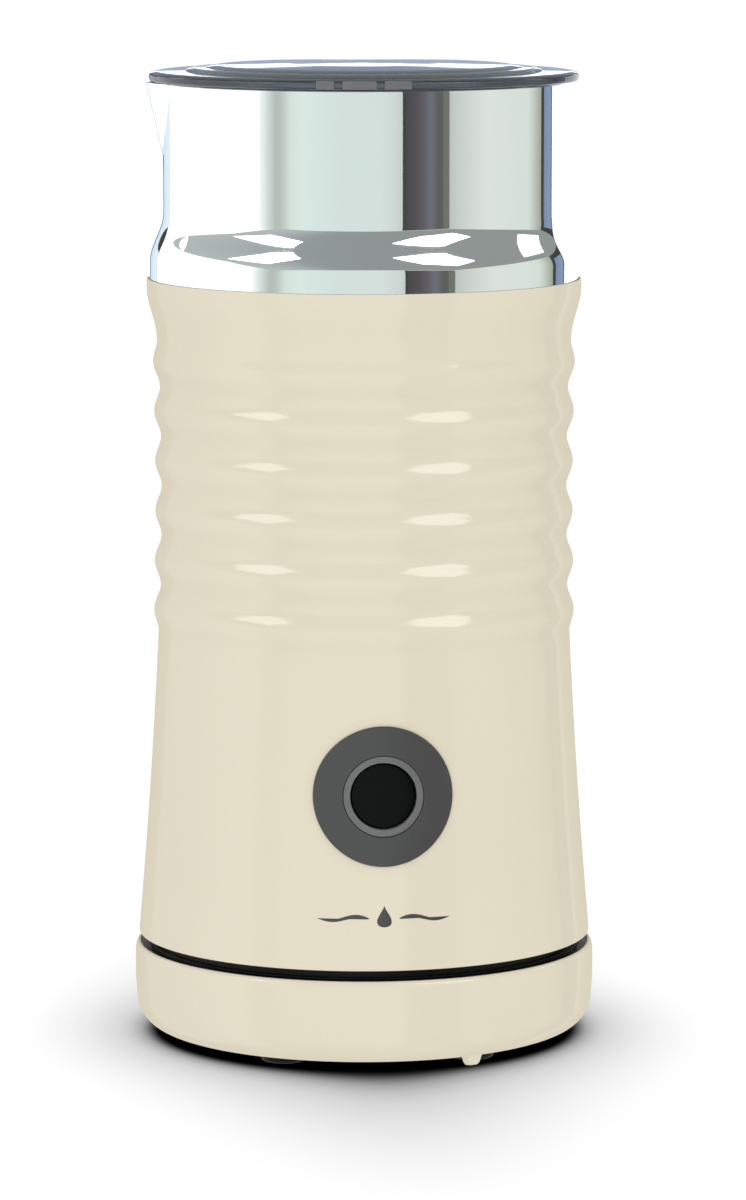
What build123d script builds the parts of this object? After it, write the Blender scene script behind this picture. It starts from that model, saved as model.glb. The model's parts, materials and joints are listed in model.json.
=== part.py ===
"""Automatic milk frother: a heated jug with a magnet-driven whisk on a round power base.

Millimetres, +Z up. The origin is on the ground, under the middle of the base.
The push button faces -Y and the pouring spout faces -X.
"""
from build123d import *
from math import cos, radians, sin
import os

os.makedirs("parts", exist_ok=True)

# ---------------------------------------------------------------- driving dimensions
gap = 0.1                      # air between pieces that only sit in each other

base_r = 50.0                  # widest radius of the power base
base_bottom = 1.6              # underside of the base, above the ground
base_top = 19.9                # top edge of the base's cream shell
shell_wall = 2.4
deck_low = 17.9                # underside of the deck's plate
deck_top = 20.2
cover_r = 43.5                 # bottom cover of the base
foot_circle_r = 38.0
foot_r = 4.8
foot_angles = (-122, -58, 58, 122)
base_screw_r = 33.0            # circle of the base's three screws
base_screw_angles = (-90, 30, 150)
lug_circle_r = 45.2            # small lug that reaches the ground beside a front foot
lug_angle = -64.7
gland_z = 10.8                 # height of the cord's gland, at the rear
gland_r = 5.0
gland_start = 40.0             # distance of the gland's inner end from the axis
gland_length = 9.3
gland_flange = 44.0            # distance of the gland's flange from the axis
cord_bore_r = 3.4

tower_r = 17.1                 # base half of the round connector
tower_top = 29.3
slot_floor = 19.2
pin_slot_r = 3.0
inner_slot = (5.6, 9.0)
outer_slot = (10.6, 14.0)
pin_r = 1.5
inner_ring = (6.9, 7.7)
outer_ring = (11.9, 12.7)
contact_tip = 21.5             # lowest point of the jug's pin and rings
disc_r = 22.5                  # jug half of the round connector
disc_low = 30.1
disc_top = 33.1

sleeve_bottom = 22.1
sleeve_foot_r = 49.2           # radius of the sleeve at its lower edge
waist_r = 44.7                 # radius just under the ribs
skirt_hollow = 0.35            # how far the tapered skirt bows inwards
rib_start = 87.4
rib_pitch = 10.8
rib_count = 6
rib_crest_r = 45.5
rib_valley_r = 44.3
flare_valley_r = 45.0
mouth_r = 46.9
sleeve_top = 164.8
seat_z = 164.2                 # ledge in the sleeve's mouth that carries the collar
spigot_r = 43.8
sleeve_bore_r = 42.2
boss_circle_r = 42.3           # three screw bosses inside the sleeve's lower end
boss_angles = (30, 150, 270)

steel = 0.8                    # sheet thickness of collar and pot
collar_r = 46.3
shoulder_low = 168.5
shoulder_top = 179.0
neck_r = 43.35
rim_z = 207.0
spout_low = 191.2              # the spout is a conical channel that leans outwards
spout_low_r = 4.0
spout_rim_r = 7.0
spout_reach = 46.9

pot_r = 37.5                   # inside radius of the pot
pot_floor = 98.0
pot_flare = 190.0
pot_rim = 197.5

plate_low = 93.3               # aluminium heater plate
plate_top = pot_floor - 1.2
plate_r = 34.0
plate_hole_r = 16.0
element_r = 25.0
element_z = 90.2
element_tube_r = 3.0
element_gap = 22               # half angle of the element's gap, at the rear
lead_top = 84.0                # upper end of the leads that run to the element's ends

bracket_low = 85.0
bracket_top = 87.0
post_circle_r = 31.2
post_angles = (30, 150, 270)
can_r = 12.2
can_low = 53.0
can_top = 83.0
shaft_r = 1.0
motor_screw_x = 8.0
carrier_r = 13.5
carrier_low = 90.2
carrier_top = 95.4
drive_circle_r = 8.8

board_low = 43.0
board_top = 44.6
board_r = 36.0
standoff_r = 31.5
standoff_angles = (90, 210, 330)
well_r = 25.6                  # well in the jug's underside, over the deck's boss
cover_low = 22.4
cover_top = 24.4
roof_top = 29.8
wall_top = 33.5
clamp_screw_r = 25.3
clamp_angles = (0, 120, 240)

button_z = 59.0
bezel_r = 14.8
barrel_r = 12.2
light_r = 8.5
cap_r = 6.8
button_screw_x = 10.4          # the button board's two screws
board_face = 40.8              # front of the button's board, behind the axis of the jug
switch_front = 44.0
cap_back = 45.0
bezel_proud = 0.7
light_proud = 0.45
cap_proud = -0.4              # the cap lies below the light ring's face

lid_r = 46.3
lid_low = 207.2
brim_top = 209.3
tier_r = 37.9
tier_top = 210.1
crown_r = 33.6
crown_top = 210.9
plug_r = 40.5
plug_low = 200.4
plug_wall = 1.6
groove_low = 202.0             # groove round the plug for the seal
groove_top = 204.4
groove_depth = 0.6
ceiling_z = 208.9              # underside of the lid's crown

bush_r = 3.2                   # bush that the whisk turns on
hub_r = 10.5
hub_low = 100.2
hub_top = 105.2
coil_circle_r = 18.5
coil_z = 103.0
coil_r = 2.3
whisk_magnet_r = 6.8


# ---------------------------------------------------------------- shared shapes
def ring(outer, inner, low, high, mode=Mode.ADD):
    """A plain ring or disc about the Z axis, from one height to another."""
    with BuildSketch(Plane.XY.offset(low)) as outline:
        Circle(outer)
        if inner > 0:
            Circle(inner, mode=Mode.SUBTRACT)
    extrude(outline.sketch, amount=high - low, mode=mode)


def pegs(radius, circle_r, angles, low, high, mode=Mode.ADD):
    """Round pegs or holes on a circle about the Z axis."""
    places = [(circle_r * cos(radians(a)), circle_r * sin(radians(a))) for a in angles]
    with BuildSketch(Plane.XY.offset(low)) as outline:
        with Locations(*places):
            Circle(radius)
    extrude(outline.sketch, amount=high - low, mode=mode)


def front(depth):
    """Plane square to the button's travel, facing -Y, at a depth from the jug's axis."""
    return Plane(origin=(0, -depth, button_z), x_dir=(1, 0, 0), z_dir=(0, -1, 0))


def skirt_solid(proud):
    """Everything inside the sleeve's tapered skirt, grown outwards by proud."""
    with BuildPart() as solid:
        with BuildSketch(Plane.XZ):
            with BuildLine():
                foot = (sleeve_foot_r + proud, sleeve_bottom)
                waist = (waist_r + proud, rib_start)
                SagittaArc(foot, waist, skirt_hollow)
                Polyline(waist, (0, rib_start), (0, sleeve_bottom), foot)
            make_face()
        revolve(axis=Axis.Z)
    return solid.part


# ---------------------------------------------------------------- power base
with BuildPart() as base_shell:
    with BuildSketch(Plane.XZ):
        with BuildLine():
            TangentArc((43.7, base_bottom), (base_r - 0.3, 8.0), tangent=(1, 0))
            Line((base_r - 0.3, 8.0), (base_r, 12.0))
            Line((base_r, 12.0), (base_r, 17.5))
            ThreePointArc((base_r, 17.5), (base_r - 0.25, 19.0), (base_r - 0.9, base_top))
            Polyline(
                (base_r - 0.9, base_top),
                (47.0, base_top),
                (47.0, deck_low),
                (45.6, deck_low),
                (45.6, deck_low - 1.3),
                (base_r - shell_wall, deck_low - 1.3),
                (base_r - shell_wall, 9.0),
            )
            ThreePointArc((base_r - shell_wall, 9.0), (46.5, 5.6), (44.4, 4.0))
            Polyline((44.4, 4.0), (43.6, 4.0), (43.6, base_bottom), (43.7, base_bottom))
        make_face()
    revolve(axis=Axis.Z)
    # hole for the cord's gland
    with BuildSketch(Plane.XZ.offset(-gland_flange)):
        with Locations((0, gland_z)):
            Circle(gland_r + gap)
    extrude(amount=-8, mode=Mode.SUBTRACT)
    lug_x = lug_circle_r * cos(radians(lug_angle))
    lug_y = lug_circle_r * sin(radians(lug_angle))
    lug_place = Location((lug_x, lug_y, 0)) * Rot(0, 0, lug_angle + 90)
    with BuildSketch(Plane(lug_place)):
        Rectangle(3.1, 1.8)
    with BuildSketch(Plane(Pos(0, 0, 3.2) * lug_place)):
        Rectangle(5.2, 2.8)
    loft()
base_shell.part.label = "base_shell"
export_step(base_shell.part, "parts/base_shell.step")

with BuildPart() as base_deck:
    ring(46.9, 0, deck_low, deck_top)
    ring(24.0, 0, deck_top, 25.5)
    fillet(base_deck.edges().group_by(Axis.Z)[-1], 1.2)
    ring(45.6, 43.8, deck_top, cover_low - gap)
    ring(tower_r + gap, 0, deck_low - 1, 26.5, Mode.SUBTRACT)
    pegs(3.4, base_screw_r, base_screw_angles, 3.6, deck_low)
    pegs(1.4, base_screw_r, base_screw_angles, 3.0, 14.0, Mode.SUBTRACT)
base_deck.part.label = "base_deck"
export_step(base_deck.part, "parts/base_deck.step")

with BuildPart() as base_bottom_cover:
    ring(cover_r, 0, base_bottom, 3.6)
    fillet(base_bottom_cover.edges().group_by(Axis.Z)[0], 0.4)
    pegs(foot_r + 0.2, foot_circle_r, foot_angles, base_bottom, 2.4, Mode.SUBTRACT)
    pegs(1.9, foot_circle_r, foot_angles, 2.4, 3.6, Mode.SUBTRACT)
    pegs(3.1, base_screw_r, base_screw_angles, base_bottom, 2.6, Mode.SUBTRACT)
    pegs(1.6, base_screw_r, base_screw_angles, 2.6, 3.6, Mode.SUBTRACT)
base_bottom_cover.part.label = "base_bottom_cover"
export_step(base_bottom_cover.part, "parts/base_bottom_cover.step")

with BuildPart() as base_screws:
    pegs(2.8, base_screw_r, base_screw_angles, 1.7, 2.6)
    pegs(1.3, base_screw_r, base_screw_angles, 2.6, 12.0)
base_screws.part.label = "base_screws"
export_step(base_screws.part, "parts/base_screws.step")

with BuildPart() as base_feet:
    pegs(foot_r, foot_circle_r, foot_angles, 0, 2.4)
    fillet(base_feet.edges().group_by(Axis.Z)[0], 0.5)
    pegs(1.8, foot_circle_r, foot_angles, 2.4, 4.2)
    pegs(2.4, foot_circle_r, foot_angles, 4.2, 5.2)
base_feet.part.label = "base_feet"
export_step(base_feet.part, "parts/base_feet.step")

with BuildPart() as cord_gland:
    with BuildSketch(Plane.XZ.offset(-gland_start)):
        with Locations((0, gland_z)):
            Circle(gland_r)
    extrude(amount=-gland_length)
    with BuildSketch(Plane.XZ.offset(-gland_flange)):
        with Locations((0, gland_z)):
            Circle(gland_r + 0.7)
    extrude(amount=-1.6)
    with BuildSketch(Plane.XZ.offset(-gland_start)):
        with Locations((0, gland_z)):
            Circle(cord_bore_r)
    extrude(amount=-gland_length, mode=Mode.SUBTRACT)
cord_gland.part.label = "cord_gland"
export_step(cord_gland.part, "parts/cord_gland.step")

with BuildPart() as base_connector:
    ring(15.0, 0, 8.0, 15.4)
    ring(19.5, 0, 15.4, deck_low)
    ring(tower_r, 0, deck_low, tower_top)
    fillet(base_connector.edges().group_by(Axis.Z)[-1], 1.2)
    ring(pin_slot_r, 0, slot_floor, tower_top, Mode.SUBTRACT)
    ring(inner_slot[1], inner_slot[0], slot_floor, tower_top, Mode.SUBTRACT)
    ring(outer_slot[1], outer_slot[0], slot_floor, tower_top, Mode.SUBTRACT)
base_connector.part.label = "base_connector"
export_step(base_connector.part, "parts/base_connector.step")

with BuildPart() as base_contacts:
    # earth, neutral and live leaves, each against the outer wall of its slot
    with BuildSketch(Plane.XY.offset(slot_floor)):
        with Locations((pin_slot_r - 0.55, 0)):
            Rectangle(0.5, 1.4)
        with Locations((inner_slot[1] - 0.6, 0)):
            Rectangle(0.5, 3.0)
        with Locations((-outer_slot[1] + 0.6, 0)):
            Rectangle(0.5, 4.0)
    extrude(amount=8)
base_contacts.part.label = "base_contacts"
export_step(base_contacts.part, "parts/base_contacts.step")

# ---------------------------------------------------------------- jug half of the connector
with BuildPart() as jug_connector:
    ring(disc_r, 0, disc_low, disc_top)
    fillet(jug_connector.edges().group_by(Axis.Z)[-1], 0.6)
    ring(6.0, 0, disc_top, disc_top + 1.5)
    ring(pin_r + 0.05, 0, disc_low, disc_top + 1.5, Mode.SUBTRACT)
    ring(inner_ring[1] + 0.05, inner_ring[0] - 0.05, disc_low, 31.7, Mode.SUBTRACT)
    ring(outer_ring[1] + 0.05, outer_ring[0] - 0.05, disc_low, 31.7, Mode.SUBTRACT)
jug_connector.part.label = "jug_connector"
export_step(jug_connector.part, "parts/jug_connector.step")

with BuildPart() as connector_pin:
    ring(pin_r, 0, contact_tip, 35.6)
    fillet(connector_pin.edges().group_by(Axis.Z)[0], 0.9)
    ring(2.6, 0, disc_top + 1.5, 35.6)
connector_pin.part.label = "connector_pin"
export_step(connector_pin.part, "parts/connector_pin.step")

with BuildPart() as inner_contact_ring:
    ring(inner_ring[1], inner_ring[0], contact_tip, 31.7)
    fillet(inner_contact_ring.edges().group_by(Axis.Z)[0], 0.3)
inner_contact_ring.part.label = "inner_contact_ring"
export_step(inner_contact_ring.part, "parts/inner_contact_ring.step")

with BuildPart() as outer_contact_ring:
    ring(outer_ring[1], outer_ring[0], contact_tip, 31.7)
    fillet(outer_contact_ring.edges().group_by(Axis.Z)[0], 0.3)
outer_contact_ring.part.label = "outer_contact_ring"
export_step(outer_contact_ring.part, "parts/outer_contact_ring.step")

# ---------------------------------------------------------------- jug: sleeve, collar and pot
with BuildPart() as body_sleeve:
    with BuildSketch(Plane.XZ):
        with BuildLine():
            SagittaArc((sleeve_foot_r, sleeve_bottom), (waist_r, rib_start), skirt_hollow)
            # ribs: crest and valley arcs that meet halfway between crest and valley
            quarter = rib_pitch / 4
            halfway_r = (rib_crest_r + rib_valley_r) / 2
            Line((waist_r, rib_start), (halfway_r, rib_start + quarter))
            for rib in range(rib_count):
                foot_z = rib_start + rib * rib_pitch
                ThreePointArc(
                    (halfway_r, foot_z + quarter),
                    (rib_crest_r, foot_z + 2 * quarter),
                    (halfway_r, foot_z + 3 * quarter),
                )
                if rib < rib_count - 1:
                    ThreePointArc(
                        (halfway_r, foot_z + 3 * quarter),
                        (rib_valley_r, foot_z + 4 * quarter),
                        (halfway_r, foot_z + 5 * quarter),
                    )
            last_z = rib_start + rib_count * rib_pitch - quarter
            flare = Spline(
                (halfway_r, last_z),
                (flare_valley_r, last_z + 2.6),
                (mouth_r - 0.2, sleeve_top - 4.3),
                tangents=((-0.4, 1), (0.05, 1)),
            )
            Polyline(
                flare @ 1,
                (mouth_r, sleeve_top),
                (collar_r + 0.15, sleeve_top),
                (collar_r + 0.15, seat_z),
                (spigot_r + gap, seat_z),
                (spigot_r + gap, 158.0),
                (sleeve_bore_r, 155.0),
                (sleeve_bore_r, rib_start),
                (sleeve_foot_r - 2.6, sleeve_bottom),
                (sleeve_foot_r, sleeve_bottom),
            )
        make_face()
    revolve(axis=Axis.Z)
    pegs(3.6, boss_circle_r, boss_angles, cover_top, 38.0)
    pegs(1.35, boss_circle_r, boss_angles, cover_top, 36.0, Mode.SUBTRACT)
    # round opening for the button's bezel
    with BuildSketch(front(35)):
        Circle(barrel_r + gap)
    extrude(amount=20, mode=Mode.SUBTRACT)
body_sleeve.part.label = "body_sleeve"
export_step(body_sleeve.part, "parts/body_sleeve.step")


def collar_outline(inset):
    """Side of the steel collar from its seat to its rim, moved inwards by inset."""
    lift = inset * 0.3
    Line((collar_r - inset, seat_z + inset), (collar_r - inset, shoulder_low + lift))
    Spline(
        (collar_r - inset, shoulder_low + lift),
        (neck_r - inset, shoulder_top + lift),
        tangents=((0, 1), (0, 1)),
    )
    Line((neck_r - inset, shoulder_top + lift), (neck_r - inset, rim_z))


def spout_channel(inset, mode):
    """Conical channel that leans out of the neck towards -X and widens to the rim."""
    leans = ((spout_low, spout_low_r, neck_r), (rim_z, spout_rim_r, spout_reach))
    sections = []
    for height, channel_r, reach in leans:
        with BuildSketch(Plane.XY.offset(height)) as section:
            with Locations((channel_r - reach, 0)):
                Circle(channel_r - inset)
        sections.append(section.sketch)
    loft(sections, mode=mode)


with BuildPart() as chrome_collar:
    with BuildSketch(Plane.XZ):
        with BuildLine():
            collar_outline(0)
            Polyline((neck_r, rim_z), (0, rim_z), (0, 158.3), (spigot_r, 158.3))
            Polyline((spigot_r, 158.3), (spigot_r, seat_z), (collar_r, seat_z))
        make_face()
    revolve(axis=Axis.Z)
    spout_channel(0, Mode.ADD)
    spout_channel(steel, Mode.SUBTRACT)
    with BuildSketch(Plane.XZ):
        with BuildLine():
            collar_outline(steel)
            Polyline((neck_r - steel, rim_z), (0, rim_z), (0, 158.3), (spigot_r - steel, 158.3))
            Polyline(
                (spigot_r - steel, 158.3),
                (spigot_r - steel, seat_z + steel),
                (collar_r - steel, seat_z + steel),
            )
        make_face()
    revolve(axis=Axis.Z, mode=Mode.SUBTRACT)
chrome_collar.part.label = "chrome_collar"
export_step(chrome_collar.part, "parts/chrome_collar.step")

with BuildPart() as inner_pot:
    flange_r = neck_r - steel - gap
    with BuildSketch(Plane.XZ):
        with BuildLine():
            Polyline((0, pot_floor), (pot_r - 6, pot_floor))
            TangentArc((pot_r - 6, pot_floor), (pot_r, pot_floor + 6), tangent=(1, 0))
            Line((pot_r, pot_floor + 6), (pot_r, pot_flare))
            Spline((pot_r, pot_flare), (flange_r - steel, pot_rim), tangents=((0, 1), (0.2, 1)))
            Polyline((flange_r - steel, pot_rim), (flange_r, pot_rim))
            Spline(
                (flange_r, pot_rim),
                (pot_r + steel, pot_flare),
                tangents=((-0.2, -1), (0, -1)),
            )
            Line((pot_r + steel, pot_flare), (pot_r + steel, pot_floor + 6))
            TangentArc(
                (pot_r + steel, pot_floor + 6),
                (pot_r - 6, plate_top),
                tangent=(0, -1),
            )
            Polyline((pot_r - 6, plate_top), (0, plate_top), (0, pot_floor))
        make_face()
    revolve(axis=Axis.Z)
inner_pot.part.label = "inner_pot"
export_step(inner_pot.part, "parts/inner_pot.step")

with BuildPart() as pot_gasket:
    ring(neck_r - steel - gap, pot_r + steel + gap, 184.0, pot_flare - 0.5)
    fillet(pot_gasket.edges(), 0.8)
pot_gasket.part.label = "pot_gasket"
export_step(pot_gasket.part, "parts/pot_gasket.step")

with BuildPart() as whisk_spindle:
    ring(pin_r, 0, pot_floor, 112.0)
    fillet(whisk_spindle.edges().group_by(Axis.Z)[-1], 1.2)
whisk_spindle.part.label = "whisk_spindle"
export_step(whisk_spindle.part, "parts/whisk_spindle.step")

# ---------------------------------------------------------------- jug: heater
with BuildPart() as heater_plate:
    ring(plate_r, plate_hole_r, plate_low, plate_top)
    pegs(1.6, post_circle_r, post_angles, plate_low, plate_top - 0.7, Mode.SUBTRACT)
heater_plate.part.label = "heater_plate"
export_step(heater_plate.part, "parts/heater_plate.step")

element_lead_angles = (90 - element_gap - 3, 90 + element_gap + 3)
with BuildPart() as heating_element:
    start = Plane.XZ.rotated((0, 0, 90 + element_gap))
    with BuildSketch(start):
        with Locations((element_r, element_z)):
            Circle(element_tube_r)
    revolve(axis=Axis.Z, revolution_arc=360 - 2 * element_gap)
    pegs(1.2, element_r, element_lead_angles, lead_top, element_z)
heating_element.part.label = "heating_element"
export_step(heating_element.part, "parts/heating_element.step")

with BuildPart() as heater_leads:
    pegs(1.3, element_r, element_lead_angles, board_top, lead_top)
heater_leads.part.label = "heater_leads"
export_step(heater_leads.part, "parts/heater_leads.step")

with BuildPart() as thermostat:
    pegs(5.2, element_r, [90], 88.4, plate_low - gap)
    fillet(thermostat.edges().group_by(Axis.Z)[0], 0.6)
    pegs(3.0, element_r, [90], 87.4, 88.4)
thermostat.part.label = "thermostat"
export_step(thermostat.part, "parts/thermostat.step")

with BuildPart() as thermal_fuse:
    with BuildSketch(Plane.YZ.offset(-5)):
        with Locations((-18.6, 91.3)):
            Circle(1.8)
    extrude(amount=10)
    fillet(thermal_fuse.edges(), 0.6)
thermal_fuse.part.label = "thermal_fuse"
export_step(thermal_fuse.part, "parts/thermal_fuse.step")

with BuildPart() as temperature_sensor:
    pegs(2.0, 18.6, [180], 88.0, plate_low - gap)
    fillet(temperature_sensor.edges().group_by(Axis.Z)[0], 1.2)
temperature_sensor.part.label = "temperature_sensor"
export_step(temperature_sensor.part, "parts/temperature_sensor.step")

# ---------------------------------------------------------------- jug: motor
with BuildPart() as motor_bracket:
    ring(plate_r + 0.5, 5.5, bracket_low, bracket_top)
    pegs(3.2, post_circle_r, post_angles, bracket_top, plate_low)
    pegs(3.5, element_r, element_lead_angles, bracket_low, bracket_top, Mode.SUBTRACT)
    pegs(6.0, 23.0, (0, 180), bracket_low, bracket_top, Mode.SUBTRACT)
    pegs(1.35, motor_screw_x, (0, 180), bracket_low, bracket_top, Mode.SUBTRACT)
    pegs(1.7, post_circle_r, post_angles, bracket_low, plate_low, Mode.SUBTRACT)
motor_bracket.part.label = "motor_bracket"
export_step(motor_bracket.part, "parts/motor_bracket.step")

with BuildPart() as bracket_screws:
    pegs(2.8, post_circle_r, post_angles, bracket_low - 1.8, bracket_low)
    pegs(1.5, post_circle_r, post_angles, bracket_low, plate_top - 1.0)
bracket_screws.part.label = "bracket_screws"
export_step(bracket_screws.part, "parts/bracket_screws.step")

with BuildPart() as motor_damper:
    ring(can_r - 0.4, 5.5, can_top, bracket_low)
    pegs(1.4, motor_screw_x, (0, 180), can_top, bracket_low, Mode.SUBTRACT)
motor_damper.part.label = "motor_damper"
export_step(motor_damper.part, "parts/motor_damper.step")

with BuildPart() as motor_can:
    ring(can_r, 0, can_low, can_top)
    fillet(motor_can.edges().group_by(Axis.Z)[-1], 1.0)
    ring(can_r - 0.8, 0, can_low, can_top - 1.0, Mode.SUBTRACT)
    ring(3.1, 0, can_top - 1.0, can_top, Mode.SUBTRACT)
    pegs(1.3, motor_screw_x, (0, 180), can_top - 1.0, can_top, Mode.SUBTRACT)
motor_can.part.label = "motor_can"
export_step(motor_can.part, "parts/motor_can.step")

with BuildPart() as motor_end_cap:
    ring(can_r, 3.1, can_low - 2.0, can_low)
    ring(can_r - 0.9, 9.0, can_low, can_low + 2.0)
motor_end_cap.part.label = "motor_end_cap"
export_step(motor_end_cap.part, "parts/motor_end_cap.step")

with BuildPart() as stator_magnets:
    for turn in (30, 210):
        with BuildSketch(Plane.XZ.rotated((0, 0, turn))):
            with Locations((can_r - 1.75, 67.0)):
                Rectangle(1.7, 18.0)
        revolve(axis=Axis.Z, revolution_arc=120)
stator_magnets.part.label = "stator_magnets"
export_step(stator_magnets.part, "parts/stator_magnets.step")

with BuildPart() as motor_bushes:
    ring(3.0, shaft_r + 0.05, can_top - 2.6, can_top + 1.4)
    ring(3.0, shaft_r + 0.05, can_low - 2.4, can_low + 1.0)
motor_bushes.part.label = "motor_bushes"
export_step(motor_bushes.part, "parts/motor_bushes.step")

with BuildPart() as motor_brushes:
    with BuildSketch(Plane.XY.offset(can_low + 2.4)):
        with Locations((0, 5.3), (0, -5.3)):
            Rectangle(2.0, 3.6)
    extrude(amount=1.8)
motor_brushes.part.label = "motor_brushes"
export_step(motor_brushes.part, "parts/motor_brushes.step")

# ---------------------------------------------------------------- rotor
with BuildPart() as motor_shaft:
    ring(shaft_r, 0, can_low - 3.5, 94.0)
    chamfer(motor_shaft.edges().group_by(Axis.Z)[0], 0.2)
motor_shaft.part.label = "motor_shaft"
export_step(motor_shaft.part, "parts/motor_shaft.step")

with BuildPart() as armature_core:
    ring(9.2, shaft_r + 0.02, 60.0, 74.0)
    pegs(2.1, 5.6, (60, 180, 300), 60.0, 74.0, Mode.SUBTRACT)
    with BuildSketch(Plane.XY.offset(60.0)):
        with PolarLocations(8.0, 3, start_angle=60):
            Rectangle(4.0, 1.2)
    extrude(amount=14, mode=Mode.SUBTRACT)
armature_core.part.label = "armature_core"
export_step(armature_core.part, "parts/armature_core.step")

with BuildPart() as armature_windings:
    ring(7.6, shaft_r + 0.6, 57.8, 60.0)
    ring(7.6, shaft_r + 0.6, 74.0, 76.2)
    fillet(armature_windings.edges().filter_by(GeomType.CIRCLE).group_by(Axis.Z)[-1], 0.5)
    fillet(armature_windings.edges().filter_by(GeomType.CIRCLE).group_by(Axis.Z)[0], 0.5)
armature_windings.part.label = "armature_windings"
export_step(armature_windings.part, "parts/armature_windings.step")

with BuildPart() as commutator:
    ring(3.0, shaft_r + 0.02, 54.6, 57.6)
commutator.part.label = "commutator"
export_step(commutator.part, "parts/commutator.step")

with BuildPart() as magnet_carrier:
    ring(carrier_r, 0, carrier_low, carrier_top)
    fillet(magnet_carrier.edges().group_by(Axis.Z)[-1], 0.6)
    ring(4.0, 0, carrier_low - 1.8, carrier_low)
    ring(shaft_r + 0.02, 0, carrier_low - 1.8, 94.1, Mode.SUBTRACT)
    pegs(3.0, drive_circle_r, (0, 90, 180, 270), 92.4, carrier_top, Mode.SUBTRACT)
magnet_carrier.part.label = "magnet_carrier"
export_step(magnet_carrier.part, "parts/magnet_carrier.step")

with BuildPart() as drive_magnets:
    pegs(2.9, drive_circle_r, (0, 90, 180, 270), 92.4, carrier_top - 0.1)
drive_magnets.part.label = "drive_magnets"
export_step(drive_magnets.part, "parts/drive_magnets.step")

# ---------------------------------------------------------------- jug: underside and board
with BuildPart() as jug_bottom_cover:
    ring(sleeve_foot_r - 2.9, well_r, cover_low, cover_top)
    ring(well_r + 2.0, well_r, cover_top, roof_top)
    ring(well_r + 2.0, 19.2, roof_top - 2.0, roof_top)
    ring(well_r + 2.0, disc_r + 0.5, roof_top, wall_top)
    pegs(3.2, standoff_r, standoff_angles, cover_top, board_low)
    pegs(1.3, standoff_r, standoff_angles, board_low - 9, board_low, Mode.SUBTRACT)
    pegs(1.25, clamp_screw_r, clamp_angles, roof_top - 1.4, wall_top, Mode.SUBTRACT)
    pegs(3.2, boss_circle_r, boss_angles, cover_low, cover_low + 1.3, Mode.SUBTRACT)
    pegs(1.7, boss_circle_r, boss_angles, cover_low + 1.3, cover_top, Mode.SUBTRACT)
jug_bottom_cover.part.label = "jug_bottom_cover"
export_step(jug_bottom_cover.part, "parts/jug_bottom_cover.step")

with BuildPart() as bottom_screws:
    pegs(3.0, boss_circle_r, boss_angles, cover_low + 0.1, cover_low + 1.3)
    pegs(1.25, boss_circle_r, boss_angles, cover_low + 1.3, 34.0)
bottom_screws.part.label = "bottom_screws"
export_step(bottom_screws.part, "parts/bottom_screws.step")

with BuildPart() as connector_clamp:
    ring(28.6, 14.0, wall_top, wall_top + 1.8)
    pegs(1.35, clamp_screw_r, clamp_angles, wall_top, wall_top + 1.8, Mode.SUBTRACT)
    # room for the board's standoffs
    pegs(3.5, standoff_r, standoff_angles, wall_top, wall_top + 1.8, Mode.SUBTRACT)
connector_clamp.part.label = "connector_clamp"
export_step(connector_clamp.part, "parts/connector_clamp.step")

with BuildPart() as control_board:
    ring(board_r, 10.0, board_low, board_top)
    pegs(1.4, standoff_r, standoff_angles, board_low, board_top, Mode.SUBTRACT)
control_board.part.label = "control_board"
export_step(control_board.part, "parts/control_board.step")

with BuildPart() as relay:
    with BuildSketch(Plane.XY.offset(board_top)):
        with Locations((-21, 13)):
            Rectangle(17, 10)
    extrude(amount=14)
    fillet(relay.edges().group_by(Axis.Z)[-1], 0.6)
relay.part.label = "relay"
export_step(relay.part, "parts/relay.step")

with BuildPart() as transformer:
    with BuildSketch(Plane.XY.offset(board_top)):
        with Locations((0, 22.5)):
            Rectangle(12, 12)
    extrude(amount=5)
    with BuildSketch(Plane.XY.offset(board_top + 5)):
        with Locations((0, 22.5)):
            Rectangle(9, 9)
    extrude(amount=5)
transformer.part.label = "transformer"
export_step(transformer.part, "parts/transformer.step")

with BuildPart() as capacitor:
    with BuildSketch(Plane.XY.offset(board_top)):
        with Locations((22, 13)):
            Circle(5)
    extrude(amount=15)
    fillet(capacitor.edges().group_by(Axis.Z)[-1], 0.8)
capacitor.part.label = "capacitor"
export_step(capacitor.part, "parts/capacitor.step")

# ---------------------------------------------------------------- jug: button
with BuildPart() as button_bezel:
    # flange that hugs the sleeve
    with BuildSketch(front(board_face)):
        Circle(bezel_r)
        Circle(light_r + gap, mode=Mode.SUBTRACT)
    extrude(amount=8)
    add(skirt_solid(0.03), mode=Mode.SUBTRACT)
    # barrel through the sleeve's opening
    with BuildSketch(front(board_face)):
        Circle(barrel_r)
        Circle(light_r + gap, mode=Mode.SUBTRACT)
    extrude(amount=8)
    add(skirt_solid(bezel_proud), mode=Mode.INTERSECT)
    with BuildSketch(front(board_face)):
        with Locations((-button_screw_x, 0), (button_screw_x, 0)):
            Circle(0.95)
    extrude(amount=3.2, mode=Mode.SUBTRACT)
button_bezel.part.label = "button_bezel"
export_step(button_bezel.part, "parts/button_bezel.step")

with BuildPart() as light_ring:
    with BuildSketch(front(board_face + 1.6)):
        Circle(light_r)
        Circle(cap_r + 0.2, mode=Mode.SUBTRACT)
    extrude(amount=7)
    add(skirt_solid(light_proud), mode=Mode.INTERSECT)
light_ring.part.label = "light_ring"
export_step(light_ring.part, "parts/light_ring.step")

with BuildPart() as button_board:
    with BuildSketch(front(board_face - 1.6)):
        Rectangle(25, 23)
        with Locations((-button_screw_x, 0), (button_screw_x, 0)):
            Circle(1.0, mode=Mode.SUBTRACT)
    extrude(amount=1.6)
button_board.part.label = "button_board"
export_step(button_board.part, "parts/button_board.step")

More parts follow.
